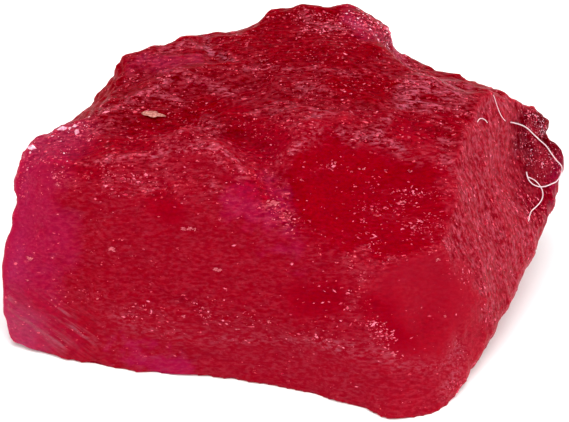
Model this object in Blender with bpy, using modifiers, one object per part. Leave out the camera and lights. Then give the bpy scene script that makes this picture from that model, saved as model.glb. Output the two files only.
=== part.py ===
"""Raw ruby crystal: a broken block of corundum that rests on its flat parting face.

Blender 4.5. Metres, +Z up; the stone's width runs along X and its broad front face looks towards -Y.
The block starts as the convex hull of its named corners. Chips are cut out of it and small knobs are
joined on. The surface is then remeshed, carved into ledges, ridges and grooves, and cut flat below.
"""

import math

import bmesh
import bpy
from mathutils import Euler, Vector, noise

MM = 0.001

# Driving sizes, in millimetres.
BASE_SINK = 0.5  # how far the block starts below the flat cut of its base
VOXEL = 0.26  # grain of the remeshed surface
FACETS = 10600  # triangles kept in the finished solid
LEDGE_PITCH = 1.15  # distance from one ledge of the top to the next
LEDGE_DEPTH = 0.3
GROOVE_PITCH = 0.62  # distance between the grooves of the right-hand end
GROOVE_DEPTH = 0.05
LUMP_HEIGHT = 0.22
PIT_DEPTH = 0.07
CHIP_CRISPNESS = 12.0  # how sharp the borders between small chips are

# Corners of the block, in millimetres from the middle of the base: name -> (x, y, z).
CORNERS = {
    # broad front face, along its foot and along its top edge
    "toe": (4.9, -8.5, 0.0),
    "toe_right": (6.4, -8.1, 0.0),
    "foot_left": (-7.2, -5.0, 0.1),
    "foot_end": (-11.7, -3.3, 0.3),
    "left_low": (-12.0, -3.0, 1.0),
    "left_mid": (-11.45, -1.2, 5.4),
    "left_top": (-11.1, -0.5, 7.5),
    "front_top_left": (-9.3, -2.0, 7.4),
    "front_top": (-2.9, -3.0, 7.7),
    "front_top_right": (2.5, -5.1, 6.2),
    "front_bulge": (4.3, -6.9, 3.0),
    # corner between the front face and the right-hand end
    "corner_top": (6.4, -4.9, 5.5),
    "corner_mid": (8.2, -4.6, 2.9),
    "corner_low": (9.2, -3.8, 1.6),
    "corner_foot": (7.8, -5.8, 0.5),
    # right-hand end
    "end_top_front": (7.1, -2.5, 6.9),
    "end_top_mid": (7.5, -0.5, 8.1),
    "end_top_back": (8.6, 2.5, 9.0),
    "end_mid": (10.5, -0.8, 2.7),
    "wing_low": (11.38, 1.6, 2.7),
    "wing_mid": (12.1, 3.7, 3.6),
    "wing_tip": (12.3, 4.2, 4.9),
    "wing_top": (11.2, 4.5, 6.3),
    "wing_root": (10.1, 3.9, 7.9),
    # brow and crown of the top
    "brow_left": (1.0, -1.4, 9.6),
    "brow_right": (4.8, -0.4, 9.1),
    "crown": (1.4, 6.5, 11.0),
    "crown_right": (3.5, 6.1, 10.9),
    "crown_left": (-0.9, 6.3, 10.9),
    "shoulder": (-5.1, 5.0, 10.0),
    "shoulder_left": (-7.1, 4.2, 9.7),
    "saddle_left": (-10.0, 0.3, 8.2),
    # the back, which bulges and then comes in to the base
    "back_left_mid": (-10.4, 3.4, 4.4),
    "back_shoulder_mid": (-6.8, 6.2, 5.0),
    "back_mid": (0.4, 7.9, 5.4),
    "back_right_mid": (6.4, 7.2, 4.6),
    "wing_back": (10.6, 5.6, 3.4),
    # base
    "base_left": (-10.6, -2.6, 0.0),
    "base_back_left": (-9.4, 2.4, 0.0),
    "base_back": (-2.0, 6.4, 0.0),
    "base_back_right": (6.6, 5.8, 0.0),
    "base_right": (9.4, 2.0, 0.0),
    "base_front_right": (8.2, -3.6, 0.0),
}

# Chips broken out of the block: name -> (centre, half-sizes, turn in degrees), millimetres.
CHIPS = {
    "left_step": ((-11.8, 4.1, 11.6), (5.4, 5.4, 5.4), (0, 0, 0)),
    "back_dip": ((-2.9, 7.2, 12.4), (2.9, 3.0, 3.0), (0, 0, 0)),
    "right_dip": ((8.5, 6.7, 13.3), (5.7, 5.7, 5.7), (0, 0, 0)),
    "front_bowl": ((5.3, -7.65, 14.3), (9.0, 9.0, 9.0), (0, 0, 0)),
    "corner_scoop": ((8.2, -11.05, 7.5), (7.0, 7.0, 7.0), (0, 0, 0)),
    "end_recess": ((13.6, -0.2, 7.8), (5.0, 5.0, 5.0), (0, 0, 0)),
    "foot_bevel": ((-4.1, -17.15, 3.0), (16.0, 12.0, 12.0), (0, 0, -15)),
    "back_flake": ((-3.0, 14.4, 5.0), (8.0, 7.5, 6.0), (0, 0, 10)),
    "back_right_flake": ((9.6, 12.6, 4.4), (5.5, 6.4, 5.0), (20, 0, -30)),
    "left_flake": ((-15.6, 4.6, 3.6), (5.2, 5.0, 5.6), (0, 0, 0)),
}

# Knobs of smaller crystals grown on the block: name -> (centre, half-sizes, turn in degrees).
KNOBS = {
    "wing_knob": ((11.0, 4.2, 6.2), (0.65, 0.6, 0.55), (10, 20, 0)),
    "wing_root_knob": ((10.6, 4.2, 6.95), (0.7, 0.6, 0.5), (0, 30, 0)),
    "crown_knob": ((3.2, 5.8, 10.35), (1.3, 0.9, 0.6), (0, 8, 12)),
    "crown_top_knob": ((2.2, 6.0, 10.55), (1.2, 0.8, 0.5), (0, 0, 8)),
    "crown_flank_knob": ((3.9, 6.0, 9.4), (1.0, 0.9, 1.05), (0, 0, 0)),
    "tip_knob": ((-9.0, 0.6, 7.95), (0.8, 0.7, 0.55), (0, 0, 30)),
}

# Ridges (height above 0) and troughs (below 0) of the top:
# name -> (half-width, height, points in plan), millimetres.
RIDGES = {
    "left_ledge": (0.55, 0.30, ((-9.4, -0.9), (-7.7, -1.3), (-5.6, -1.1), (-3.9, -0.9))),
    "middle_ridge": (0.55, 0.40, ((-3.9, -0.9), (-2.9, -1.6), (-1.8, -2.4), (-1.2, -2.8))),
    "back_ridge": (0.7, 0.30, ((-6.9, 1.2), (-5.2, 2.3), (-3.6, 2.6), (-2.2, 2.9))),
    "brow": (0.5, 0.22, ((0.2, -2.2), (0.6, -1.7), (1.3, -0.9), (2.5, -0.4), (4.2, -0.5))),
    "gully": (0.6, -0.55, ((-2.1, -0.6), (-1.1, -1.6), (-0.4, -2.5), (0.3, -3.2))),
    "left_hollow": (0.7, -0.30, ((-6.6, 0.3), (-5.6, 0.3), (-4.6, 0.4), (-3.2, 0.6))),
    "middle_hollow": (0.8, -0.35, ((-4.2, 1.6), (-2.6, 1.6), (-1.0, 1.5), (0.6, 1.2))),
    "fissure": (0.28, -0.22, ((-3.4, 5.2), (-3.3, 4.6), (-3.0, 3.9), (-2.0, 3.2))),
    "end_crest": (0.5, 0.25, ((7.0, -2.4), (7.5, -0.6), (8.0, 1.0), (8.5, 2.4))),
}


def smooth(low, high, value):
    """0 below low, 1 above high and a soft step between them."""
    t = min(1.0, max(0.0, (value - low) / (high - low)))
    return t * t * (3.0 - 2.0 * t)


def clear_scene():
    for obj in list(bpy.data.objects):
        bpy.data.objects.remove(obj, do_unlink=True)


def make_collection(name):
    collection = bpy.data.collections.new(name)
    bpy.context.scene.collection.children.link(collection)
    return collection


def ruby_material():
    material = bpy.data.materials.new("ruby")
    material.use_nodes = True
    shader = material.node_tree.nodes["Principled BSDF"]
    shader.inputs["Base Color"].default_value = (0.45, 0.008, 0.03, 1.0)
    shader.inputs["Roughness"].default_value = 0.38
    shader.inputs["IOR"].default_value = 1.76
    shader.inputs["Subsurface Weight"].default_value = 0.6
    return material


def block_points():
    """Every corner, and the low ones again below the cut that will make the base."""
    points = []
    for x, y, z in CORNERS.values():
        points.append(Vector((x, y, z)))
        if z < 0.15:
            points.append(Vector((x, y, -BASE_SINK)))
    return points


def make_block(name, collection):
    """Convex hull of the corners."""
    bm = bmesh.new()
    for point in block_points():
        bm.verts.new(point * MM)
    hull = bmesh.ops.convex_hull(bm, input=bm.verts)
    spare = [item for item in hull["geom_interior"] if isinstance(item, bmesh.types.BMVert)]
    bmesh.ops.delete(bm, geom=spare, context="VERTS")
    bmesh.ops.recalc_face_normals(bm, faces=bm.faces)
    mesh = bpy.data.meshes.new(name)
    bm.to_mesh(mesh)
    bm.free()
    block = bpy.data.objects.new(name, mesh)
    collection.objects.link(block)
    return block


def make_tool(name, shape, collection, detail):
    """Ball stretched to its half-sizes, used to cut a chip or to add a knob."""
    centre, half_sizes, turn = shape
    bm = bmesh.new()
    bmesh.ops.create_icosphere(bm, subdivisions=detail, radius=1.0)
    mesh = bpy.data.meshes.new(name)
    bm.to_mesh(mesh)
    bm.free()
    tool = bpy.data.objects.new(name, mesh)
    tool.location = Vector(centre) * MM
    tool.scale = Vector(half_sizes) * MM
    tool.rotation_euler = Euler([math.radians(angle) for angle in turn])
    tool.display_type = "WIRE"
    tool.hide_render = True
    collection.objects.link(tool)
    return tool


def add_boolean(block, tool, operation):
    modifier = block.modifiers.new(tool.name, "BOOLEAN")
    modifier.operation = operation
    modifier.solver = "EXACT"
    modifier.object = tool


def break_up(block, collection):
    """Cut the chips, join the knobs and even out the mesh."""
    for name, shape in CHIPS.items():
        add_boolean(block, make_tool(name, shape, collection, 4), "DIFFERENCE")
    for name, shape in KNOBS.items():
        add_boolean(block, make_tool(name, shape, collection, 2), "UNION")
    remesh = block.modifiers.new("even_grain", "REMESH")
    remesh.mode = "VOXEL"
    remesh.voxel_size = VOXEL * MM


def apply_modifiers(obj):
    """Put the mesh that the modifiers give in the place of the plain one."""
    graph = bpy.context.evaluated_depsgraph_get()
    graph.update()
    mesh = bpy.data.meshes.new_from_object(obj.evaluated_get(graph))
    plain = obj.data
    obj.modifiers.clear()
    obj.data = mesh
    mesh.name = obj.name
    bpy.data.meshes.remove(plain)


def distance_to_line(x, y, points):
    """Distance in plan from (x, y) to a line of points."""
    here = Vector((x, y))
    nearest = 1e9
    for first, second in zip(points, points[1:]):
        start = Vector(first)
        along = Vector(second) - start
        share = (here - start).dot(along) / along.length_squared
        share = min(1.0, max(0.0, share))
        nearest = min(nearest, (here - start - along * share).length)
    return nearest


def ridge_height(p):
    """Named ridges and troughs, with a wavering line."""
    sway = noise.noise_vector(p * 0.9) * 0.3
    height = 0.0
    for half_width, top, points in RIDGES.values():
        gap = distance_to_line(p.x + sway.x, p.y + sway.y, points) / half_width
        height += top * math.exp(-gap * gap)
    return height


def ledge_height(p):
    """Wavy broken ledges that follow the width of the stone."""
    wave = noise.fractal(Vector((p.x * 0.16, p.y * 0.35, p.z * 0.35)), 0.9, 2.1, 3)
    t = (p.y * 0.8 + p.z * 0.5) / LEDGE_PITCH + wave * 2.2
    share = t - math.floor(t)
    step = smooth(0.55, 0.95, share) - share
    strength = 0.55 + 0.9 * noise.noise(p * 0.45 + Vector((7.0, 3.0, 1.0)))
    return LEDGE_DEPTH * step * max(0.0, strength)


def groove_height(p):
    """Shallow grooves that run down the right-hand end."""
    across = p.x * 0.51 + p.y * 0.86
    wave = noise.fractal(Vector((across * 0.7, p.z * 0.2, 4.0)), 0.9, 2.0, 3)
    return GROOVE_DEPTH * math.sin(2.0 * math.pi * (across / GROOVE_PITCH + wave * 1.3))


def chip_height(p, size, stretch):
    """Small flat chips, each tilted its own way, with softened borders."""
    q = Vector((p.x * stretch, p.y, p.z)) / size
    gaps, seeds = noise.voronoi(q)
    total = 0.0
    height = 0.0
    for gap, seed in zip(gaps, seeds):
        weight = math.exp(-CHIP_CRISPNESS * (gap - gaps[0]))
        tilt = noise.cell_vector(seed * 19.7) - Vector((0.5, 0.5, 0.5))
        height += weight * (q - seed).dot(tilt) * size
        total += weight
    return height / total


def pit_depth(p):
    """Sparse round pits of the front face."""
    gap = noise.voronoi(p * 0.8 + Vector((2.3, 5.1, 0.7)))[0][0]
    return PIT_DEPTH * (1.0 - smooth(0.1, 0.45, gap))


def relief(p, normal):
    """Height to add along the normal at point p, both in millimetres."""
    bowl_centre = Vector((4.4, -2.5, 7.7))
    in_bowl = 1.0 - smooth(2.4, 3.6, (p - bowl_centre).length)
    top = smooth(0.55, 0.85, normal.z) * (1.0 - 0.85 * in_bowl)
    end = smooth(0.45, 0.7, normal.x) * (1.0 - smooth(0.75, 0.9, normal.z))
    front = smooth(0.6, 0.85, -normal.y)
    back = smooth(0.2, 0.5, normal.y)
    height = LUMP_HEIGHT * noise.fractal(p * 0.33, 1.0, 2.0, 3) * (1.0 - 0.7 * front)
    height += top * (ridge_height(p) + ledge_height(p) + 0.5 * chip_height(p, 0.9, 0.5))
    height += end * (groove_height(p) + 0.16 * chip_height(p, 0.8, 1.0))
    height += back * (0.5 * chip_height(p, 1.7, 0.7) + ledge_height(p))
    height += front * (0.04 * chip_height(p, 2.2, 0.7) - pit_depth(p))
    return height


def carve(block):
    """Move every vertex of the even mesh along its normal by the relief."""
    bm = bmesh.new()
    bm.from_mesh(block.data)
    bm.normal_update()
    moves = [(vert, vert.normal * relief(vert.co / MM, vert.normal) * MM) for vert in bm.verts]
    for vert, move in moves:
        vert.co += move
    bm.to_mesh(block.data)
    bm.free()


def thin_out(block):
    """Keep about FACETS triangles, the most where the surface bends."""
    count = sum(len(face.vertices) - 2 for face in block.data.polygons)
    modifier = block.modifiers.new("thin_out", "DECIMATE")
    modifier.ratio = min(1.0, FACETS / count)
    modifier.use_collapse_triangulate = True
    apply_modifiers(block)


def cut_base(block):
    """Part the stone along one flat face so that it rests firmly."""
    bm = bmesh.new()
    bm.from_mesh(block.data)
    for vert in bm.verts:
        if abs(vert.co.z) < 0.08 * MM:
            vert.co.z = 0.0
    everything = bm.verts[:] + bm.edges[:] + bm.faces[:]
    bmesh.ops.bisect_plane(
        bm, geom=everything, dist=1e-7, plane_co=(0, 0, 0), plane_no=(0, 0, 1), clear_inner=True
    )
    flat = [face for face in bm.faces if all(abs(vert.co.z) < 1e-7 for vert in face.verts)]
    bmesh.ops.delete(bm, geom=flat, context="FACES")
    loose = [vert for vert in bm.verts if not vert.link_faces]
    bmesh.ops.delete(bm, geom=loose, context="VERTS")
    rim = [edge for edge in bm.edges if edge.is_boundary]
    bmesh.ops.holes_fill(bm, edges=rim, sides=0)
    bmesh.ops.triangulate(bm, faces=bm.faces[:])
    bmesh.ops.recalc_face_normals(bm, faces=bm.faces)
    bm.to_mesh(block.data)
    bm.free()


def centre_on_base(block):
    """Put the origin at the middle of the bottom of the stone's box."""
    xs = [vert.co.x for vert in block.data.vertices]
    ys = [vert.co.y for vert in block.data.vertices]
    middle = Vector(((min(xs) + max(xs)) / 2, (min(ys) + max(ys)) / 2, 0.0))
    for vert in block.data.vertices:
        vert.co -= middle


def main():
    clear_scene()
    stone_parts = make_collection("raw_ruby_crystal")
    tools = make_collection("chips_and_knobs")
    stone = make_block("ruby_crystal", stone_parts)
    break_up(stone, tools)
    apply_modifiers(stone)
    carve(stone)
    thin_out(stone)
    cut_base(stone)
    centre_on_base(stone)
    stone.data.materials.append(ruby_material())


main()
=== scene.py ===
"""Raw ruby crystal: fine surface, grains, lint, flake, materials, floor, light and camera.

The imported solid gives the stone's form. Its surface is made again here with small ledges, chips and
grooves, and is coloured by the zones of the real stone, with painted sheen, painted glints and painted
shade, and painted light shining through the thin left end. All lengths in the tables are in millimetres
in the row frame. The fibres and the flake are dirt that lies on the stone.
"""

import math

import bpy
import numpy as np
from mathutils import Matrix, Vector, noise
from mathutils.bvhtree import BVHTree


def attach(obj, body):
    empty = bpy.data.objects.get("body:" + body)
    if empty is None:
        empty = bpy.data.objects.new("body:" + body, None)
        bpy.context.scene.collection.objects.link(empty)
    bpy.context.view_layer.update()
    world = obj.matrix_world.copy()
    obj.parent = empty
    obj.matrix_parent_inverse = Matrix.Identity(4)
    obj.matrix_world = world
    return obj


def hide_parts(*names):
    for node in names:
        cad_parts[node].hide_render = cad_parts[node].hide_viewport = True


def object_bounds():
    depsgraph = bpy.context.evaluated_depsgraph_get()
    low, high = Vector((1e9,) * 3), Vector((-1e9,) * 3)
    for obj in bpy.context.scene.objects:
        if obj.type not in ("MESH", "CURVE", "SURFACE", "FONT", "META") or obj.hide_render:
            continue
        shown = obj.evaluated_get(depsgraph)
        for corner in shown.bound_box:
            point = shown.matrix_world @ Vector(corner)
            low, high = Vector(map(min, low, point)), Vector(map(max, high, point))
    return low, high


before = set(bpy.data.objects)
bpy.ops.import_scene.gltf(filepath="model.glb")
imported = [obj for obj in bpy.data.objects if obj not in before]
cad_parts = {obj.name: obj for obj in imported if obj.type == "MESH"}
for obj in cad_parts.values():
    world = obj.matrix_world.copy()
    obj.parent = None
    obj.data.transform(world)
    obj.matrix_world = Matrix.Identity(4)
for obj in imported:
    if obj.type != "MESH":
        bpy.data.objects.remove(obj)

CAD_LOW, CAD_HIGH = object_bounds()
MM = 0.001
NODE = "ruby_crystal"

# Fine surface
FINE_VOXEL = 0.115
SMOOTH_PASSES = 8
BROAD_PASSES = 30  # averaging that turns the normals into those of the broad faces

# Chips that were broken out of the stone: centre and radius of the ball that fits each one.
BOWL = ((5.1, -7.4, 14.3), 9.0)
BOWL_MIDDLE = (3.4, -2.6, 7.6)
SCOOP = ((8.0, -10.8, 7.5), 7.0)
END_RECESS = ((13.4, 0.05, 7.8), 5.0)

# Camera: it looks along +Y and down at the stone.
CAMERA_ELEVATION = 35.0
CAMERA_DISTANCE = 150.0
CAMERA_TARGET = (-0.11, 0.296, 4.6)
CAMERA_LENS = 223.8
SENSOR_WIDTH = 36.0
PHOTO_WIDTH, PHOTO_HEIGHT = 569, 422

# Small ridges (rise above 0) and hollows (below 0) of the top, in plan:
# half-width, painted sheen that they carry (below 0: painted shade), rise, points (x, y).
TOP_LINES = {
    "left_ledge": (0.11, 0.85, 0.08, ((-8.7, -1.2), (-7.7, -1.4), (-6.1, -1.3), (-5.0, -1.1), (-4.0, -1.4),
                                     (-3.4, -1.7), (-2.9, -2.0))),
    "middle": (0.15, 0.9, 0.07, ((-3.7, -1.1), (-3.1, -1.5), (-2.5, -1.7), (-2.1, -2.0), (-1.8, -2.4))),
    "middle_step": (0.1, 0.88, 0.06, ((-3.0, -1.9), (-2.6, -2.2), (-2.2, -2.5), (-2.0, -2.6))),
    "middle_foot": (0.11, 0.66, 0.05, ((-3.3, -2.4), (-3.0, -2.8), (-2.5, -3.0))),
    "second": (0.11, 0.75, 0.08, ((-5.3, -0.6), (-4.6, -0.8), (-4.0, -0.5), (-3.7, -0.3))),
    "knot": (0.21, 0.45, 0.08, ((-3.7, 0.8), (-3.2, 0.3), (-2.9, -0.1), (-3.1, -0.3))),
    "left_short": (0.11, 0.55, 0.06, ((-8.2, 0.2), (-7.9, 0.5), (-7.6, 0.7), (-7.3, 0.9))),
    "back_left": (0.14, 0.7, 0.08, ((-7.7, 1.5), (-7.1, 1.4), (-6.6, 1.7), (-5.9, 2.0), (-5.5, 2.3),
                                    (-5.1, 2.5), (-4.6, 2.9))),
    "back_right": (0.17, 0.7, 0.08, ((-4.5, 2.9), (-4.1, 2.6), (-3.4, 2.4), (-2.8, 2.3), (-2.5, 2.0))),
    "back_low": (0.15, 0.66, 0.05, ((-6.2, 1.9), (-5.4, 2.0), (-5.0, 1.9), (-4.6, 1.8))),
    # the fissure is a pale crack, drawn with the same pale colour as the painted sheen
    "fissure": (0.09, 1.6, -0.05, ((-3.4, 5.6), (-3.4, 4.6), (-3.1, 4.2), (-2.7, 4.1), (-2.2, 3.5))),
    "rear": (0.17, 0.77, 0.05, ((-5.3, 4.6), (-4.2, 5.0), (-3.8, 4.7), (-3.4, 4.6))),
    "brow_left": (0.21, 1.1, 0.05, ((-0.3, -1.7), (0.2, -1.7), (0.6, -1.5), (0.9, -1.2), (1.3, -0.9))),
    "brow_peak": (0.15, 0.9, 0.05, ((0.9, -0.5), (1.2, -0.2), (1.6, 0.1), (1.9, 0.0))),
    "brow_top": (0.15, 0.6, 0.05, ((2.2, -0.7), (2.7, -0.7), (3.2, -0.5), (3.7, -0.4))),
    "brow_right": (0.16, 0.9, 0.06, ((3.7, -0.4), (4.1, -0.5), (4.5, -0.6), (5.0, -0.8), (5.5, -1.0))),
    "brow_patch": (0.3, 0.7, 0.0, ((5.9, -0.8), (6.4, -0.8), (6.8, -1.0))),
    "brow_spur": (0.14, 0.77, 0.06, ((3.7, -0.4), (3.9, 0.0), (4.3, 0.4))),
    "right": (0.5, 1.05, 0.07, ((4.7, 2.0), (5.3, 2.1), (6.0, 2.5), (6.6, 2.5), (7.2, 2.3))),
    "right_low": (0.15, 1.0, 0.06, ((4.7, 1.2), (5.4, 1.6), (6.0, 1.4), (6.6, 1.3))),
    "centre": (0.14, 0.55, 0.05, ((-0.7, 1.1), (0.1, 0.7), (0.6, 0.4), (1.3, 0.1))),
    "centre_up": (0.17, 0.55, 0.05, ((0.6, 1.9), (1.3, 1.6), (1.9, 1.3), (2.4, 1.3))),
    "centre_back": (0.15, 0.55, 0.05, ((-1.9, 0.3), (-1.2, 0.5), (-0.6, 0.7), (0.1, 0.1))),
    "crown": (0.14, 0.88, 0.06, ((0.7, 6.0), (1.0, 5.7), (1.5, 5.5), (2.1, 5.2))),
    "crown_low": (0.11, 0.4, 0.06, ((0.6, 4.9), (1.3, 5.2), (2.0, 5.2), (2.5, 4.9), (3.6, 5.2))),
    "far_ridge": (0.12, 1.1, 0.06, ((6.0, 1.5), (6.4, 1.3), (7.0, 1.4), (7.5, 1.4), (7.9, 1.3))),
    "far_short": (0.11, 0.8, 0.05, ((5.6, 1.0), (6.0, 0.95), (6.5, 0.8))),
    "far_low": (0.12, 1.0, 0.05, ((5.9, 0.5), (6.2, 0.45), (6.5, 0.4), (6.9, 0.3))),
    "far_foot": (0.14, 0.9, 0.04, ((6.3, -0.15), (6.8, -0.1), (7.3, 0.0), (7.7, 0.5))),
    "rim_right": (0.6, 0.85, 0.0, ((4.8, 5.5), (5.2, 5.2), (6.0, 4.6), (7.4, 3.6))),
    "rear_streak": (0.1, 0.55, 0.05, ((-1.8, 3.1), (-0.3, 3.0), (0.6, 2.9), (1.8, 2.5), (3.1, 2.5))),
    # painted shadow of the flake: less sheen in the shallow hollow under it
    "under_flake": (0.4, -1.0, -0.06, ((-6.1, 0.6), (-5.5, 0.6), (-4.9, 0.6), (-4.0, 0.9))),
    "middle_dark": (0.3, -0.7, -0.05, ((-3.4, 1.6), (-2.8, 1.1), (-2.1, 0.6))),
    "left_dark": (0.35, -0.9, -0.07, ((-9.4, -0.9), (-8.4, -0.4), (-7.3, -0.6), (-6.1, -0.5))),
    "left_notch": (0.2, -0.9, -0.08, ((-8.9, -1.3), (-8.4, -1.6), (-7.8, -1.7))),
    "gully": (0.45, -0.9, -0.04, ((-2.0, 0.0), (-1.3, -0.6), (-0.8, -0.9), (-0.6, -1.3))),
    "gully_foot": (0.25, -0.8, -0.05, ((-2.5, -2.4), (-2.0, -2.8), (-1.4, -2.9), (-0.6, -2.8))),
    "rear_dark": (0.4, -0.9, -0.05, ((2.2, 1.5), (2.9, 1.8), (3.6, 1.7), (4.3, 2.2))),
    "crown_dark": (0.3, -0.8, -0.06, ((1.5, 6.1), (1.9, 6.0), (2.1, 5.8))),
    "right_dark": (0.15, -0.9, -0.04, ((5.6, 1.9), (6.3, 1.9))),
    "right_dark_low": (0.25, -0.8, -0.04, ((6.4, 1.1), (7.2, 1.2), (7.9, 1.2))),
    "far_dark": (0.4, -0.8, -0.04, ((4.9, 0.1), (5.6, 0.1), (6.4, 0.3), (7.0, 0.1))),
}

# The same for the front face, seen from the front: points (x, z); painted shade below 0 is a deeper red.
FRONT_LINES = {
    "foot_left": (0.3, 0.8, 0.02, ((-11.2, 1.45), (-10.7, 1.1), (-10.2, 0.85), (-9.5, 0.65))),
    "foot_slant": (0.3, 0.55, 0.02, ((-9.4, 2.0), (-9.1, 1.5), (-8.8, 1.2), (-8.4, 1.0))),
    "foot_edge": (0.3, 0.9, 0.0, ((-11.7, 0.9), (-11.4, 0.4))),
    "left_edge": (0.25, 1.0, 0.0, ((-11.9, 2.3), (-11.7, 1.8))),
    "foot_right": (0.2, 0.3, 0.03, ((-2.4, 2.0), (-0.7, 2.1), (1.0, 2.5), (2.6, 2.7))),
    "foot_middle": (0.25, 0.25, 0.03, ((-7.2, 2.2), (-5.7, 2.0), (-4.0, 1.7), (-2.6, 1.9))),
    "crease_left": (0.14, 0.0, 0.03, ((-9.5, 3.0), (-8.0, 3.0), (-6.5, 3.1), (-4.0, 3.0), (-1.5, 2.7))),
    "crease_right": (0.2, 0.0, 0.03, ((-1.5, 2.7), (1.0, 3.5), (2.4, 4.3))),
    "dark_right": (0.45, -0.6, -0.03, ((0.6, 4.1), (1.3, 4.2), (1.9, 4.4))),
    "haze_low": (0.28, 0.45, 0.03, ((1.4, 2.5), (2.4, 2.4), (3.5, 2.5), (4.6, 2.1), (5.9, 1.8),
                                    (6.6, 1.6))),
    "toe_edge": (0.3, 0.5, 0.0, ((6.9, 2.1), (7.2, 1.4), (6.9, 1.0), (6.5, 0.7))),
    "dark_scoop": (0.45, -0.8, -0.03, ((3.5, 4.1), (3.9, 4.0), (4.3, 3.5), (4.7, 3.0), (5.7, 3.0))),
    "dark_upper": (0.4, -0.6, -0.03, ((-5.3, 7.2), (-4.8, 6.9))),
}

# Notches of the outline: half-width, depth, points.
NOTCHES = {
    "wing": (0.3, 0.25, ((11.0, 4.1, 5.8), (11.3, 4.2, 5.7), (11.6, 4.6, 5.7))),
}

# Lines along which small crystals glitter: half-width, strength, points.
GLITTER_LINES = {
    "crease": (0.55, 0.5, ((-9.9, -3.0, 2.8), (-8.4, -3.5, 2.7), (-6.9, -4.0, 2.8), (-5.5, -4.4, 2.6),
                            (-3.8, -4.7, 3.0), (-2.1, -5.1, 2.7), (-0.5, -5.4, 2.7), (1.4, -6.0, 3.3))),
    "scoop_top": (0.22, 2.0, ((2.3, -4.8, 6.0), (2.7, -5.1, 5.6), (3.0, -5.2, 5.4), (3.1, -5.5, 5.0))),
    "scoop_foot": (0.35, 2.2, ((2.6, -5.7, 4.3), (3.1, -6.0, 3.8), (3.6, -6.4, 3.3), (4.1, -6.5, 3.2))),
    "scoop_low": (0.25, 1.5, ((3.5, -6.6, 2.9), (4.1, -6.8, 2.6), (4.4, -6.9, 2.4))),
    "scoop_left": (0.35, 0.8, ((1.8, -5.9, 3.6), (2.6, -6.2, 3.4), (3.4, -6.3, 3.4), (4.2, -6.4, 3.4))),
    "end_rim": (0.35, 0.8, ((6.3, -4.4, 5.6), (6.8, -4.2, 5.2), (7.6, -4.1, 4.2), (8.3, -4.0, 3.1),
                            (8.6, -4.0, 2.0))),
    "bowl_low": (0.6, 1.3, ((3.4, -2.9, 6.6), (4.5, -2.7, 6.6), (5.3, -3.2, 6.4), (6.1, -3.6, 6.1),
                            (6.5, -4.0, 5.7))),
    "bowl_mid": (0.35, 0.9, ((3.5, -2.0, 7.3), (4.5, -1.9, 7.1), (5.5, -2.0, 7.0), (6.4, -2.2, 7.1))),
    "bowl_high": (0.25, 0.8, ((0.4, -2.2, 8.2), (1.1, -2.1, 8.2), (2.0, -1.5, 8.3))),
    "bowl_left": (0.4, 0.8, ((-0.9, -3.0, 7.8), (-0.1, -3.5, 7.1), (0.6, -4.0, 6.8), (1.6, -4.4, 6.6),
                             (2.6, -4.1, 6.3), (3.6, -4.1, 6.1))),
    "toe_rim": (0.3, 0.7, ((7.7, -5.3, 0.6), (7.3, -6.1, 0.6), (7.0, -6.7, 0.5), (6.3, -7.5, 0.4))),
    "left_top": (0.45, 1.1, ((-9.4, -1.5, 7.5), (-8.1, -1.7, 7.8), (-6.9, -2.0, 7.6), (-5.6, -2.3, 7.5))),
    "crown": (0.3, 1.2, ((0.5, 4.9, 10.6), (0.9, 5.2, 10.6), (1.5, 5.35, 10.6), (2.1, 5.3, 10.6))),
    "crown_back": (0.2, 1.5, ((0.6, 5.9, 10.9), (1.2, 6.0, 10.9), (2.0, 5.9, 10.8))),
    "crown_rim": (0.5, 2.6, ((2.5, 5.7, 10.7), (3.2, 5.8, 10.6), (3.9, 6.0, 10.3), (4.4, 6.2, 9.8))),
    "wing_top": (0.3, 3.0, ((10.6, 4.0, 6.8), (10.9, 4.1, 6.4), (11.1, 4.05, 6.2))),
    "wing_edge": (0.3, 1.0, ((11.5, 4.1, 5.3), (11.8, 3.9, 4.9))),
    "wing_low": (0.3, 1.2, ((9.9, 1.3, 4.6), (10.2, 1.3, 4.2), (10.0, 0.6, 4.3))),
    "tip": (0.6, 1.0, ((-10.8, 0.0, 7.8), (-9.9, 0.4, 8.1), (-9.0, 0.8, 8.5), (-8.2, 1.2, 8.7))),
    "wing": (0.6, 0.6, ((10.1, 3.6, 6.2), (10.5, 3.5, 5.6), (11.1, 3.3, 4.9), (10.8, 2.5, 4.5),
                        (10.3, 1.3, 4.2), (10.0, 0.4, 4.3))),
}


def smooth(low, high, value):
    """0 below low, 1 above high and a soft step between them; works on arrays."""
    t = np.clip((value - low) / (high - low), 0.0, 1.0)
    return t * t * (3.0 - 2.0 * t)


def mix(first, second, share):
    """Blend of two colour arrays by a share for each row."""
    return first + (np.asarray(second) - first) * share[:, None]


def distance_to(places, point):
    return np.linalg.norm(places - np.array(point), axis=1)


def distance_to_line(places, points):
    """Distance from each place to a line of points, in as many axes as the points have."""
    best = np.full(len(places), 1e9)
    for first, second in zip(points, points[1:]):
        start = np.array(first)
        along = np.array(second) - start
        share = np.clip((places - start) @ along / (along @ along), 0.0, 1.0)
        best = np.minimum(best, np.linalg.norm(places - start - share[:, None] * along, axis=1))
    return best


def distance_to_ball(places, ball):
    """Distance from each place to the surface of a ball."""
    centre, radius = ball
    return np.abs(distance_to(places, centre) - radius)


# ---------------------------------------------------------------- fine surface


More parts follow.
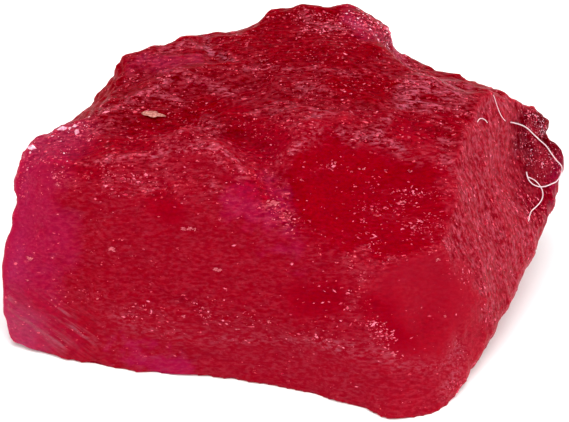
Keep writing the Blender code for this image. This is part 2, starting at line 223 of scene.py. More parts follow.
def remeshed_copy(name):
    """Even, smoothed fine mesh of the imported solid, as a new object."""
    stone = bpy.data.objects.new(name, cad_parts[NODE].data.copy())
    bpy.context.scene.collection.objects.link(stone)
    remesh = stone.modifiers.new("even", "REMESH")
    remesh.mode = "VOXEL"
    remesh.voxel_size = FINE_VOXEL * MM
    soften = stone.modifiers.new("soften", "SMOOTH")
    soften.factor = 0.5
    soften.iterations = SMOOTH_PASSES
    graph = bpy.context.evaluated_depsgraph_get()
    graph.update()
    fine = bpy.data.meshes.new_from_object(stone.evaluated_get(graph))
    stone.modifiers.clear()
    stone.data = fine
    fine.name = name
    return stone


def mesh_arrays(mesh):
    """Vertex places in millimetres, unit normals and the pairs of vertices of the edges."""
    count = len(mesh.vertices)
    places = np.empty(count * 3, np.float32)
    mesh.vertices.foreach_get("co", places)
    normals = np.empty(count * 3, np.float32)
    mesh.vertex_normals.foreach_get("vector", normals)
    pairs = np.empty(len(mesh.edges) * 2, np.int32)
    mesh.edges.foreach_get("vertices", pairs)
    return places.reshape(-1, 3) / MM, normals.reshape(-1, 3), pairs.reshape(-1, 2)


def spread(values, pairs, passes):
    """Average of each vertex with its neighbours, repeated."""
    count = len(values)
    degree = np.bincount(pairs.ravel(), minlength=count).astype(np.float64)
    for _ in range(passes):
        total = np.zeros_like(values, dtype=np.float64)
        for axis in range(values.shape[1]):
            total[:, axis] = np.bincount(pairs[:, 0], values[pairs[:, 1], axis], count)
            total[:, axis] += np.bincount(pairs[:, 1], values[pairs[:, 0], axis], count)
        values = 0.5 * values + 0.5 * total / degree[:, None]
    return values


def blotches(places, size, seed):
    """Soft irregular patches, from about -0.5 to 0.5."""
    values = np.empty(len(places))
    for index, point in enumerate(places):
        values[index] = noise.fractal(Vector(point) / size + Vector((seed, 0.0, 0.0)), 0.8, 2.1, 3)
    return values


def find_zones(places, normals):
    """Soft masks of the stone's natural faces."""
    x, y, z = places.T
    nx, ny, nz = normals.T
    zones = {}
    ragged = 0.6 * blotches(places, 0.7, 5.0)
    bowl = (1.0 - smooth(0.35, 0.9, distance_to_ball(places, BOWL))) * smooth(-4.9, -4.4, y + ragged)
    zones["bowl"] = bowl * (1.0 - smooth(2.9, 3.9, distance_to(places, BOWL_MIDDLE) + ragged))
    hollow = zones["bowl"] * smooth(0.3, 0.5, nz)
    zones["bowl"] = hollow * (1.0 - smooth(-1.2, -0.4, y + 0.5 * ragged))
    clear = 1.0 - hollow
    rightward = smooth(0.35, 0.62, nx) * (1.0 - smooth(0.68, 0.86, nz)) * clear
    leftward = smooth(0.45, 0.75, -nx) * smooth(-1.6, -0.4, y) * clear
    side = rightward * smooth(5.0, 6.0, x)
    zones["end"] = side * smooth(-4.5, -3.8, y + ragged)
    recess = 1.0 - smooth(0.2, 0.6, distance_to_ball(places, END_RECESS))
    zones["recess"] = recess * zones["end"] * smooth(1.2, 2.6, y + 0.4 * z - 0.6)
    zones["recess"] *= smooth(9.0, 10.6, x + 0.8 * ragged)
    zones["top"] = np.maximum(smooth(0.45, 0.85, nz) * clear, np.maximum(leftward, rightward - side))
    zones["top"] *= 1.0 - zones["end"]
    zones["top"] = np.maximum(zones["top"], hollow - zones["bowl"])
    zones["front"] = np.maximum(smooth(0.5, 0.8, -ny), side) * clear * (1.0 - zones["end"])
    zones["scoop"] = (1.0 - smooth(0.15, 0.5, distance_to_ball(places, SCOOP))) * zones["front"]
    zones["scoop"] *= smooth(3.0, 4.2, x) * (1.0 - smooth(1.0, 1.6, -z))
    zones["foot"] = zones["front"] * (1.0 - smooth(2.0, 3.4, z)) * (1.0 - smooth(3.0, 5.0, x))
    zones["back"] = smooth(0.1, 0.4, ny) * (1.0 - zones["top"])
    zones["left"] = smooth(7.6, 11.4, -x)
    zones["slant"] = zones["foot"] * (1.0 - smooth(-8.4, -7.6, x))
    zones["crown"] = 1.0 - smooth(0.8, 1.7, np.hypot(x - 3.6, y - 6.0) + 0.5 * ragged)
    zones["crown"] *= smooth(7.6, 9.2, z)
    zones["steep_left"] = leftward
    zones["tip"] = 1.0 - smooth(0.7, 2.2, distance_to(places, (-9.6, 0.5, 8.2)))
    zones["wing"] = 1.0 - smooth(1.0, 2.2, distance_to(places, (11.2, 4.0, 6.0)))
    return zones


def sway(places, size, amount):
    """Small wavering shift of each place, so that lines aren't straight."""
    shifts = np.empty_like(places)
    for index, point in enumerate(places):
        shifts[index] = noise.noise_vector(Vector(point) / size)
    return shifts * amount


def add_lines(places, zones):
    """Painted sheen (painted shade where below 0) and rise of the named ridges and hollows at each vertex."""
    moved = places + sway(places, 0.5, 0.12)
    # Painted sheen on the ridges; below 0 it is painted shade in the hollows.
    haze = np.zeros(len(places))
    rise = np.zeros(len(places))
    tables = ((TOP_LINES, [0, 1], np.maximum(zones["top"], zones["bowl"])),
              (FRONT_LINES, [0, 2], zones["front"]))
    for lines, axes, where in tables:
        for half_width, line_haze, line_rise, points in lines.values():
            near = np.exp(-(distance_to_line(moved[:, axes], points) / half_width) ** 2) * where
            haze += line_haze * near
            rise += line_rise * near
    for half_width, depth, points in NOTCHES.values():
        rise -= depth * np.exp(-(distance_to_line(places, points) / half_width) ** 2)
    zones["line_haze"] = haze
    glitter = np.zeros(len(places))
    for half_width, strength, points in GLITTER_LINES.values():
        near = np.exp(-(distance_to_line(moved, points) / half_width) ** 2)
        glitter = np.maximum(glitter, strength * near)
    zones["glitter"] = glitter
    return rise


def chips(point, size, stretch, crispness):
    """Flat chips, each tilted its own way: height at a point, in millimetres."""
    q = Vector((point[0] * stretch, point[1], point[2])) / size
    gaps, seeds = noise.voronoi(q)
    total = 0.0
    height = 0.0
    for gap, seed in zip(gaps, seeds):
        weight = math.exp(-crispness * (gap - gaps[0]))
        tilt = noise.cell_vector(seed * 19.7) - Vector((0.5, 0.5, 0.5))
        height += weight * (q - seed).dot(tilt) * size
        total += weight
    return height / total


def ledges(point, pitch):
    """Wavy broken ledges: height of one step at a point, from -0.5 to 0.5."""
    x, y, z = point
    wave = noise.fractal(Vector((x * 0.35, y * 0.8, z * 0.8)), 0.9, 2.1, 3)
    t = (y * 0.8 + z * 0.5) / pitch + wave * 1.6
    share = t - math.floor(t)
    step = min(1.0, max(0.0, (share - 0.6) / 0.35))
    return step * step * (3.0 - 2.0 * step) - share


def grooves(point, pitch):
    """Fine grooves that run down the right-hand end."""
    across = 0.54 * point[0] + 0.83 * point[1] - 0.14 * point[2]
    down = 0.3 * point[0] - 0.34 * point[1] - 0.89 * point[2]
    return noise.fractal(Vector((across / pitch, down * 0.45, 4.0)), 0.8, 2.0, 3)


def fine_relief(places, zones):
    """Height to add along the normal at each vertex."""
    height = add_lines(places, zones)
    rough = np.clip(zones["top"] + zones["back"] + 0.6 * zones["recess"] + 0.6 * zones["bowl"], 0.0, 1.0)
    smoother = np.clip(zones["front"] + 0.5 * zones["left"], 0.0, 1.0) * (1.0 - 0.7 * zones["scoop"])
    steep = zones["steep_left"]
    for index, point in enumerate(places):
        top = rough[index]
        end = zones["end"][index]
        front = smoother[index]
        total = 0.0
        if steep[index] > 0.01:
            total += steep[index] * 0.55 * chips(point, 0.75, 1.0, 16.0)
        if top > 0.01:
            total += top * (0.2 * chips(point, 0.85, 0.4, 14.0) + 0.28 * chips(point, 0.36, 0.5, 12.0))
            total += top * 0.05 * ledges(point, 0.55)
        if end > 0.01:
            total += end * (0.035 * grooves(point, 0.25) + 0.17 * chips(point, 0.36, 1.0, 12.0))
        if front > 0.01:
            total += front * (0.25 * chips(point, 1.5, 0.6, 14.0) + 0.3 * chips(point, 0.42, 0.7, 12.0))
            if point[2] < 0.9:
                total += front * (0.9 - point[2]) * 0.5 * chips(point, 0.8, 0.8, 10.0)
        height[index] += total
    return height


def keep_in_box(places):
    """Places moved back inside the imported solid's box, in millimetres."""
    return np.clip(places, np.array(CAD_LOW) / MM, np.array(CAD_HIGH) / MM)


# Colours of the zones, linear; some are painted shade or painted light, as said where they are mixed in.
RED = (0.232, 0.003, 0.010)
BACK_SHADE = (0.157, 0.0010, 0.0038)
DEEP = (0.215, 0.0004, 0.0055)
WAXY = (0.258, 0.005, 0.014)
PINK = (0.285, 0.006, 0.040)
ROSE = (0.226, 0.0025, 0.009)
CROWN = (0.26, 0.010, 0.040)
SHADED = (0.09, 0.0003, 0.003)
RECESS_SHADE = (0.150, 0.0003, 0.005)
MAUVE = (0.19, 0.003, 0.024)
PALE = (0.30, 0.020, 0.065)
MAGENTA = (0.30, 0.012, 0.068)
# Lines along which the stone turns magenta.
MIDDLE_FLUSH = ((-1.7, -3.1, 7.5), (-1.0, -3.4, 7.2), (-0.4, -3.8, 6.7), (0.3, -4.3, 6.4))
FOOT_FLUSH = ((-7.0, -4.5, 0.6), (-6.2, -4.8, 0.5), (-4.3, -5.1, 0.4))
REAR_FLUSH = ((-5.8, 4.4, 9.8), (-5.2, 4.1, 9.9), (-4.6, 3.7, 9.9))


def tint(places, zones):
    """Colour of each vertex by the zone that it is in, with painted shade at the back of the top, in the end's
    recess and in the front's hollows, and painted light through the thin left end.
    """
    y = places[:, 1]
    uneven = blotches(places, 2.2, 3.0)
    broken = 0.7 * uneven + 0.9 * blotches(places, 0.6, 7.0)
    patch = 1.0 - smooth(0.0, 1.2, distance_to_line(places, MIDDLE_FLUSH) + broken)
    patch *= (1.0 - zones["bowl"]) * (1.0 - smooth(0.3, 1.1, places[:, 0]))
    foot_patch = 1.0 - smooth(0.0, 0.9, distance_to_line(places, FOOT_FLUSH) + broken)
    rear_patch = 1.0 - smooth(0.1, 1.3, distance_to_line(places, REAR_FLUSH) + broken)
    open_face = (1.0 - np.maximum(zones["top"], zones["bowl"])) * smooth(0.0, 0.3, zones["left"])
    left = zones["left"] + 0.5 * uneven * open_face + 0.4 * broken * zones["back"]
    left = smooth(0.1, 0.8, left) * (1.0 - 0.6 * zones["back"])
    colour = np.tile(np.array(RED), (len(places), 1))
    # Painted shade: the top turns darker towards the back, where the stone is thickest.
    colour = mix(colour, BACK_SHADE, 0.9 * zones["top"] * smooth(-2.5, 1.8, y + 1.2 * uneven))
    colour = mix(colour, DEEP, zones["bowl"])
    colour = mix(colour, ROSE, zones["end"] * 0.8)
    # Painted shade: the recess of the right-hand end is a darker red, darkest in its hollow.
    colour = mix(colour, RECESS_SHADE, zones["recess"])
    colour = mix(colour, MAUVE, 0.7 * zones["recess"] * smooth(11.0, 11.8, places[:, 0] + uneven))
    hollow = distance_to_line(places, ((10.3, 3.8, 6.6), (11.1, 3.6, 5.2))) + 1.2 * uneven
    colour = mix(colour, SHADED, zones["recess"] * (1.0 - smooth(0.5, 1.7, hollow)))
    # Painted light: the thin left end is pinker, and magenta at its front edge, as if lit through.
    colour = mix(colour, PINK, left * 0.8)
    colour = mix(colour, MAGENTA, 0.7 * zones["left"] * zones["front"] * smooth(10.4, 11.7, -places[:, 0]))
    colour = mix(colour, WAXY, np.maximum(zones["foot"] * 0.6, zones["front"] * smooth(1.5, 4.5, places[:, 0])))
    colour = mix(colour, CROWN, zones["crown"] * smooth(-0.5, 0.2, uneven) * 0.9)
    # Pinker at the thin left tip, painted light shining through it, and on the rear flush.
    colour = mix(colour, CROWN, np.clip(0.7 * zones["tip"] + 0.6 * rear_patch, 0.0, 1.0))
    colour = mix(colour, PINK, np.clip(0.75 * patch + foot_patch, 0.0, 1.0))
    # Painted shade: the hollows of the front lines are a deeper red.
    colour = mix(colour, DEEP, 0.8 * zones["front"] * np.clip(-zones["line_haze"], 0.0, 1.0))
    # Painted light: the thin lower left corner is paler and pinker, as if lit through.
    return mix(colour, PALE, 1.0 - smooth(0.4, 2.2, distance_to(places, (-11.3, -2.9, 0.7)) + uneven))


def write_attributes(mesh, places, zones):
    """Store the zones on the mesh, for the material to read: the tint with its painted light and shade, and the
    amounts of painted sheen and painted glints.
    """
    rows = np.ones((len(places), 4), np.float32)
    rows[:, :3] = tint(places, zones)
    layer = mesh.color_attributes.new("tint", "FLOAT_COLOR", "POINT")
    layer.data.foreach_set("color", rows.ravel())
    top, end, front, bowl = (zones[name] for name in ("top", "end", "front", "bowl"))
    open_bowl = 1.0 - 0.4 * bowl
    open_end = end * (1.0 - zones["recess"])
    scoop = zones["scoop"]
    glitter = np.clip(zones["glitter"], 0.0, 1.3)
    # Painted sheen: a pale veil over the rough faces and along the ridge lines, less in hollows and on the
    # steep left side.
    haze = 0.07 * top + 0.235 * open_end + 0.02 * zones["foot"] + 0.055 * front * (1.0 - 0.8 * scoop)
    haze *= 1.0 - 0.85 * smooth(9.9, 10.4, places[:, 2])
    haze += (0.42 * zones["line_haze"] + 0.04 * glitter) * open_bowl
    haze *= 1.0 - 0.8 * zones["steep_left"]
    grain = np.clip(0.22 + 0.78 * top + 0.78 * end + 0.65 * zones["back"] + 0.3 * bowl, 0.0, 1.0)
    grain += 0.22 * np.clip(front - 0.8 * zones["foot"] + 0.8 * zones["slant"], 0.0, 1.0)
    grain *= (1.0 - 0.6 * scoop) * (1.0 - 0.5 * zones["steep_left"])
    # Density of the painted glints: small bright spots that the material paints on.
    glint_density = 0.04 + 0.5 * top + 0.34 * open_end + 0.05 * bowl + 0.35 * zones["back"] + 0.1 * zones["left"]
    glint_density += 0.3 * glitter + 0.1 * zones["recess"] + 0.12 * np.clip(zones["line_haze"], 0.0, 1.0)
    glint_density *= 1.0 - scoop
    layers = {"haze": haze, "grain": grain, "end": end, "glint_density": glint_density, "slant": zones["slant"]}
    for name, values in layers.items():
        layer = mesh.attributes.new(name, "FLOAT", "POINT")
        layer.data.foreach_set("value", np.clip(values, 0.0, 1.0).astype(np.float32))


def make_stone():
    """The stone's visible surface."""
    stone = remeshed_copy("stone_surface")
    places, normals, pairs = mesh_arrays(stone.data)
    broad = spread(normals.astype(np.float64), pairs, BROAD_PASSES)
    broad /= np.linalg.norm(broad, axis=1, keepdims=True)
    zones = find_zones(places, broad)
    shift = normals * fine_relief(places, zones)[:, None]
    shift[:, 2] *= smooth(0.05, 0.4, places[:, 2])
    places = keep_in_box(places + shift)
    stone.data.vertices.foreach_set("co", (places * MM).astype(np.float32).ravel())
    write_attributes(stone.data, places, zones)
    stone.data.shade_smooth()
    stone.data.update()
    return stone, places, zones


# ---------------------------------------------------------------- materials


def new_material(name):
    """Material, its node tree and its Principled shader."""
    material = bpy.data.materials.new(name)
    material.use_nodes = True
    tree = material.node_tree
    return material, tree, tree.nodes["Principled BSDF"]


def feed(tree, socket, value):
    """Link a socket to another one, or set its value."""
    if isinstance(value, bpy.types.NodeSocket):
        tree.links.new(value, socket)
    else:
        socket.default_value = value


def texture(tree, kind, place, scale, detail=None, rough=None):
    """Noise or Voronoi texture node."""
    node = tree.nodes.new(kind)
    feed(tree, node.inputs["Vector"], place)
    node.inputs["Scale"].default_value = scale
    if detail is not None:
        node.inputs["Detail"].default_value = detail
    if rough is not None:
        node.inputs["Roughness"].default_value = rough
    return node


def attribute(tree, name):
    node = tree.nodes.new("ShaderNodeAttribute")
    node.attribute_name = name
    return node


def mix_colour(tree, share, first, second):
    """Mixed colour socket; share, first and second are values or sockets."""
    node = tree.nodes.new("ShaderNodeMix")
    node.data_type = "RGBA"
    feed(tree, node.inputs[0], share)
    feed(tree, node.inputs[6], first)
    feed(tree, node.inputs[7], second)
    return node.outputs[2]


def calculate(tree, operation, *values):
    """Result socket of a Math node."""
    node = tree.nodes.new("ShaderNodeMath")
    node.operation = operation
    for socket, value in zip(node.inputs, values):
        feed(tree, socket, value)
    return node.outputs[0]


def vector_step(tree, operation, first, second):
    """Result socket of a Vector Math node; the second input of a SCALE is a number."""
    node = tree.nodes.new("ShaderNodeVectorMath")
    node.operation = operation
    feed(tree, node.inputs[0], first)
    feed(tree, node.inputs["Scale"] if operation == "SCALE" else node.inputs[1], second)
    return node.outputs["Vector"]


def map_range(tree, value, low, high, new_low, new_high):
    """Result socket of a clamped Map Range node."""
    node = tree.nodes.new("ShaderNodeMapRange")
    feed(tree, node.inputs["Value"], value)
    node.inputs["From Min"].default_value = low
    node.inputs["From Max"].default_value = high
    node.inputs["To Min"].default_value = new_low
    node.inputs["To Max"].default_value = new_high
    return node.outputs["Result"]


def squeezed(tree, place, direction, share):
    """Place squeezed along a direction, so that a texture on it is drawn out that way."""
    node = tree.nodes.new("ShaderNodeVectorMath")
    node.operation = "DOT_PRODUCT"
    feed(tree, node.inputs[0], place)
    feed(tree, node.inputs[1], direction)
    amount = calculate(tree, "MULTIPLY", node.outputs["Value"], share - 1.0)
    return vector_step(tree, "ADD", place, vector_step(tree, "SCALE", direction, amount))


def add_painted_glints(tree, place, scale, density):
    """Mask and brightness of small scattered painted glints, drawn on a texture place."""
    cell = texture(tree, "ShaderNodeTexVoronoi", place, scale)
    parts = tree.nodes.new("ShaderNodeSeparateColor")
    feed(tree, parts.inputs[0], cell.outputs["Color"])
    chosen = calculate(tree, "LESS_THAN", parts.outputs[0], density)
    size = map_range(tree, parts.outputs[1], 0.0, 1.0, 0.16, 0.34)
    gap = calculate(tree, "SUBTRACT", size, cell.outputs["Distance"])
    mask = map_range(tree, gap, 0.0, 0.1, 0.0, 1.0)
    bright = map_range(tree, calculate(tree, "POWER", parts.outputs[2], 1.6), 0.0, 1.0, 0.2, 1.0)
    return calculate(tree, "MULTIPLY", calculate(tree, "MULTIPLY", mask, chosen), bright)


END_DIP = (0.3, -0.34, -0.89)
FOOT_DIP = (0.81, -0.42, -0.41)
# Colours of the painted sheen and of the painted glints.
PAINTED_SHEEN = (0.29, 0.050, 0.080, 1.0)
PAINTED_GLINT = (0.78, 0.11, 0.16, 1.0)


def ruby_material():
    """Waxy, translucent deep red stone with thin streaks of painted sheen and small painted glints."""
    material, tree, shader = new_material("ruby")
    place = tree.nodes.new("ShaderNodeTexCoord").outputs["Object"]
    base = attribute(tree, "tint").outputs["Color"]
    haze = attribute(tree, "haze").outputs["Fac"]
    grain = attribute(tree, "grain").outputs["Fac"]
    end = attribute(tree, "end").outputs["Fac"]
    glint_density = attribute(tree, "glint_density").outputs["Fac"]
    slant = attribute(tree, "slant").outputs["Fac"]
    level = squeezed(tree, place, (1.0, 0.0, 0.0), 0.35)
    down = squeezed(tree, place, END_DIP, 0.4)
    fan = squeezed(tree, place, FOOT_DIP, 0.08)

    cloud = texture(tree, "ShaderNodeTexNoise", level, 2000.0, 5.0, 0.7).outputs["Fac"]
    thread = texture(tree, "ShaderNodeTexNoise", level, 9000.0, 3.0, 0.65).outputs["Fac"]
    groove = texture(tree, "ShaderNodeTexNoise", down, 9000.0, 3.0, 0.65).outputs["Fac"]
    fine = texture(tree, "ShaderNodeTexNoise", place, 7500.0, 2.0, 0.6).outputs["Fac"]
    slanted = texture(tree, "ShaderNodeTexNoise", fan, 6500.0, 3.0, 0.6).outputs["Fac"]

    lines = mix_colour(tree, end, thread, groove)
    streak = map_range(tree, mix_colour(tree, slant, lines, slanted), 0.44, 0.64, 0.0, 2.6)
    patch = map_range(tree, cloud, 0.36, 0.66, 0.6, 1.4)
    pattern = calculate(tree, "MULTIPLY", streak, patch)
    # Painted sheen: pale streaks mixed over the base colour.
    sheen_share = calculate(tree, "MINIMUM", calculate(tree, "MULTIPLY", haze, pattern), 1.0)
    colour = mix_colour(tree, sheen_share, base, PAINTED_SHEEN)
    shade = map_range(tree, lines, 0.36, 0.62, 0.74, 1.24)
    shade = calculate(tree, "MULTIPLY", shade, map_range(tree, fine, 0.3, 0.7, 0.8, 1.2))
    shade = calculate(tree, "MULTIPLY_ADD", grain, calculate(tree, "SUBTRACT", shade, 1.0), 1.0)
    colour = vector_step(tree, "SCALE", colour, shade)

    ragged = texture(tree, "ShaderNodeTexNoise", place, 9000.0, 2.0, 0.6).outputs["Color"]
    ragged = vector_step(tree, "SCALE", vector_step(tree, "SUBTRACT", ragged, (0.5, 0.5, 0.5)), 0.16 * MM)
    drawn = vector_step(tree, "ADD", squeezed(tree, place, (1.0, 0.0, 0.0), 0.42), ragged)
    sloped = vector_step(tree, "ADD", down, ragged)
    # Painted glints: small bright spots, in clusters.
    cluster = map_range(tree, cloud, 0.40, 0.62, 0.35, 1.7)
    density = calculate(tree, "MULTIPLY", glint_density, cluster)
    small = add_painted_glints(tree, drawn, 10500.0, density)
    large = add_painted_glints(tree, drawn, 5200.0, calculate(tree, "MULTIPLY", density, 0.25))
    on_end = add_painted_glints(tree, sloped, 9000.0, density)
    flat = calculate(tree, "MULTIPLY", calculate(tree, "MAXIMUM", small, large),
                     calculate(tree, "SUBTRACT", 1.0, end))
    glint = calculate(tree, "MAXIMUM", flat, calculate(tree, "MULTIPLY", on_end, end))
    feed(tree, shader.inputs["Base Color"], mix_colour(tree, glint, colour, PAINTED_GLINT))

    cells = texture(tree, "ShaderNodeTexVoronoi", level, 7600.0).outputs["Color"]
    tilt = vector_step(tree, "SUBTRACT", cells, (0.5, 0.5, 0.5))
    tilt = vector_step(tree, "SCALE", tilt, calculate(tree, "MULTIPLY", grain, 0.45))
    normal = tree.nodes.new("ShaderNodeNewGeometry").outputs["Normal"]
    bump = tree.nodes.new("ShaderNodeBump")
    bump.inputs["Strength"].default_value = 0.7
    bump.inputs["Distance"].default_value = 0.035 * MM
    feed(tree, bump.inputs["Height"], lines)
    feed(tree, bump.inputs["Normal"], vector_step(tree, "ADD", normal, tilt))
    feed(tree, shader.inputs["Normal"], bump.outputs["Normal"])

    feed(tree, shader.inputs["Roughness"], map_range(tree, grain, 0.3, 1.0, 0.5, 0.38))
    shader.inputs["Subsurface Weight"].default_value = 0.75
    shader.inputs["Subsurface Radius"].default_value = (1.0, 0.07, 0.1)
    shader.inputs["Subsurface Scale"].default_value = 0.9 * MM
    shader.inputs["IOR"].default_value = 1.76
    shader.inputs["Specular IOR Level"].default_value = 0.012
    return material


def grain_material():
    """Small pale crystals that catch the light; their pale pink colour is partly a painted highlight."""
    material, tree, shader = new_material("pale_crystal_glint")
    island = tree.nodes.new("ShaderNodeNewGeometry").outputs["Random Per Island"]
    share = map_range(tree, island, 0.1, 1.0, 0.0, 1.0)
    share = calculate(tree, "POWER", share, 1.6)
    colour = mix_colour(tree, share, (0.48, 0.015, 0.045, 1.0), (0.88, 0.19, 0.28, 1.0))
    feed(tree, shader.inputs["Base Color"], colour)
    shader.inputs["Roughness"].default_value = 0.25
    shader.inputs["IOR"].default_value = 1.76
    shader.inputs["Specular IOR Level"].default_value = 0.15
    return material


def fleck_material():
    """Pale pink patches of small crystals, mottled; their pale colour is partly a painted highlight."""
    material, tree, shader = new_material("fleck")
    place = tree.nodes.new("ShaderNodeTexCoord").outputs["Object"]
    mottle = texture(tree, "ShaderNodeTexNoise", place, 9000.0, 3.0, 0.6).outputs["Fac"]
    share = map_range(tree, mottle, 0.35, 0.65, 0.0, 1.0)
    colour = mix_colour(tree, share, (0.36, 0.015, 0.035, 1.0), (0.58, 0.10, 0.135, 1.0))
    feed(tree, shader.inputs["Base Color"], colour)
    shader.inputs["Roughness"].default_value = 0.4
    return material


def clear_material():
    """Nearly colourless blocky crystals."""
    material, tree, shader = new_material("clear_crystal")
    place = tree.nodes.new("ShaderNodeTexCoord").outputs["Object"]
    mottle = texture(tree, "ShaderNodeTexNoise", place, 5000.0, 3.0, 0.6).outputs["Fac"]
    share = map_range(tree, mottle, 0.35, 0.65, 0.0, 1.0)
    colour = mix_colour(tree, share, (0.62, 0.16, 0.27, 1.0), (0.92, 0.56, 0.66, 1.0))
    feed(tree, shader.inputs["Base Color"], colour)
    shader.inputs["Roughness"].default_value = 0.15
    shader.inputs["IOR"].default_value = 1.76
    return material


def lint_material():
    """White lint, a little uneven along its length."""
    material, tree, shader = new_material("lint")
    place = tree.nodes.new("ShaderNodeTexCoord").outputs["Object"]
    uneven = texture(tree, "ShaderNodeTexNoise", place, 3000.0, 3.0).outputs["Fac"]
    colour = mix_colour(tree, uneven, (0.60, 0.33, 0.37, 1.0), (0.85, 0.68, 0.72, 1.0))
    feed(tree, shader.inputs["Base Color"], colour)
    shader.inputs["Roughness"].default_value = 0.5
    shader.inputs["Transmission Weight"].default_value = 0.0
    shader.inputs["Sheen Weight"].default_value = 0.3
    return material


def flake_material():
    """Dull tan flake with darker flecks."""
    material, tree, shader = new_material("tan_flake")
    place = tree.nodes.new("ShaderNodeTexCoord").outputs["Object"]
    fleck = texture(tree, "ShaderNodeTexNoise", place, 9000.0, 4.0, 0.6).outputs["Fac"]
    share = map_range(tree, fleck, 0.4, 0.65, 0.0, 1.0)
    colour = mix_colour(tree, share, (0.26, 0.055, 0.045, 1.0), (0.58, 0.24, 0.19, 1.0))
    feed(tree, shader.inputs["Base Color"], colour)
    shader.inputs["Roughness"].default_value = 0.6
    return material


def floor_material():
    """Plain white paper."""
    material, tree, shader = new_material("floor_paper")
    place = tree.nodes.new("ShaderNodeTexCoord").outputs["Object"]
    fibre = texture(tree, "ShaderNodeTexNoise", place, 900.0, 3.0).outputs["Fac"]
    colour = mix_colour(tree, fibre, (0.93, 0.93, 0.93, 1.0), (0.96, 0.96, 0.96, 1.0))
    feed(tree, shader.inputs["Base Color"], colour)
    shader.inputs["Roughness"].default_value = 0.85
    return material


# ---------------------------------------------------------------- grains


def finish_piece(obj, material, replaced=()):
    """Give a piece its material and its place in the frame."""
    obj.data.materials.clear()
    obj.data.materials.append(material)
    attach(obj, "root")
    if replaced:
        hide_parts(*replaced)


def scatter(stone, places, density, count, seed):
    """Random points on the surface, more of them where density is high, and their normals."""
    mesh = stone.data
    mesh.calc_loop_triangles()
    corners = np.empty(len(mesh.loop_triangles) * 3, np.int32)
    mesh.loop_triangles.foreach_get("vertices", corners)
    corners = corners.reshape(-1, 3)
    first, second, third = (places[corners[:, k]] for k in range(3))
    cross = np.cross(second - first, third - first)
    area = 0.5 * np.linalg.norm(cross, axis=1)
    chance = area * density[corners].mean(axis=1)
    rng = np.random.default_rng(seed)
    picks = rng.choice(len(corners), size=count, p=chance / chance.sum())
    share = rng.random((count, 2))
    flip = share.sum(axis=1) > 1.0
    share[flip] = 1.0 - share[flip]
    points = first[picks] + share[:, :1] * (second - first)[picks] + share[:, 1:] * (third - first)[picks]
    normals = cross[picks] / (2.0 * area[picks, None])
    return points, normals, rng


OCTAHEDRON = np.array(((1, 0, 0), (-1, 0, 0), (0, 1, 0), (0, -1, 0), (0, 0, 1), (0, 0, -1)), float)
OCTAHEDRON_FACES = np.array(((0, 2, 4), (2, 1, 4), (1, 3, 4), (3, 0, 4),
                             (2, 0, 5), (1, 2, 5), (3, 1, 5), (0, 3, 5)))


def grain_axes(normals, rng, end_share, wander):
    """Axes of each grain: its length lies level, or down the dip on the right-hand end."""
    long_way = np.where(end_share[:, None] > 0.5, np.array(END_DIP), np.array((1.0, 0.0, 0.0)))
    long_way = long_way + wander * rng.normal(size=long_way.shape)
    long_way -= normals * (long_way * normals).sum(axis=1, keepdims=True)
    long_way /= np.linalg.norm(long_way, axis=1, keepdims=True)
    return np.stack((long_way, np.cross(normals, long_way), normals), axis=1)


def make_grains(name, places, axes, rng, sizes, stretch, sink):
    """Eight-sided crystals, partly sunk in the surface, as one mesh."""
    count = len(places)
    shape = OCTAHEDRON[None] * (1.0 + 0.5 * (rng.random((count, 6, 1)) - 0.5))
    shape = shape * np.stack((stretch * (0.6 + 0.8 * rng.random(count)), 0.6 + 0.6 * rng.random(count),
                              0.5 + 0.6 * rng.random(count)), axis=1)[:, None]
    centre = places - axes[:, 2] * (sizes * sink)[:, None]
    corners = centre[:, None] + np.einsum("nij,njk->nik", shape, axes) * sizes[:, None, None]
    corners = keep_in_box(corners.reshape(-1, 3))
    faces = (OCTAHEDRON_FACES[None] + 6 * np.arange(count)[:, None, None]).reshape(-1, 3)
    mesh = bpy.data.meshes.new(name)
    mesh.from_pydata((corners * MM).tolist(), [], faces.tolist())
    obj = bpy.data.objects.new(name, mesh)
    bpy.context.scene.collection.objects.link(obj)
    return obj


def scattered_grains(name, stone, places, density, count, seed, small, large, stretch, wander):
    """Grains scattered over the stone; on the right-hand end they lie down the dip."""
    points, normals, rng = scatter(stone, places, density, count, seed)
    end_share = (points[:, 0] > 6.8).astype(float) * (normals[:, 0] > 0.45)
    sizes = small + (large - small) * rng.random(count) ** 2.5
    axes = grain_axes(normals, rng, end_share, wander)
    return make_grains(name, points, axes, rng, sizes, stretch, 0.3)


